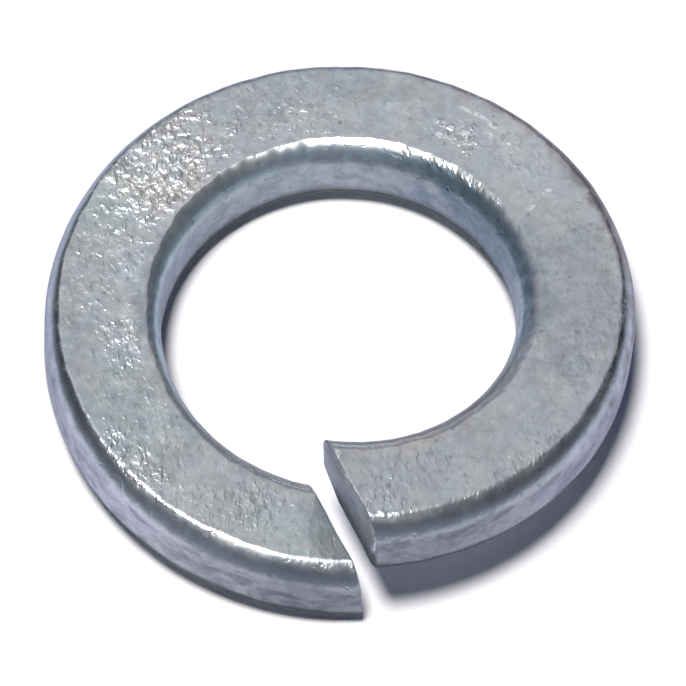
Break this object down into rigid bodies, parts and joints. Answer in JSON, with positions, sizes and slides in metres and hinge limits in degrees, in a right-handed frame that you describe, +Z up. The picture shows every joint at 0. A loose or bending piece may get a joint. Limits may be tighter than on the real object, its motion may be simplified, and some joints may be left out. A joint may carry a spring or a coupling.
{
  "type": "spring lock washer",
  "caption": "Split helical spring washer for a bolt: a flat steel section coiled one turn, with slant-cut ends sprung apart so that it presses back under a nut.",
  "frame": {"origin": "on the surface that the washer rests on, under the middle of the coil", "axes": "+Z up from that surface, as the washer lies at rest with its bore leaning by about 6 degrees; -Y from the middle towards the split, with the low end on the -X side of it"},
  "size_m": [0.0212, 0.0212, 0.0062],
  "materials": {
    "plated_steel": "satin zinc plating on spring steel, finely pitted and slightly mottled, with brighter worn edges"
  },
  "bodies": {
    "root": {"washer": "plated_steel"}
  },
  "joints": []
}
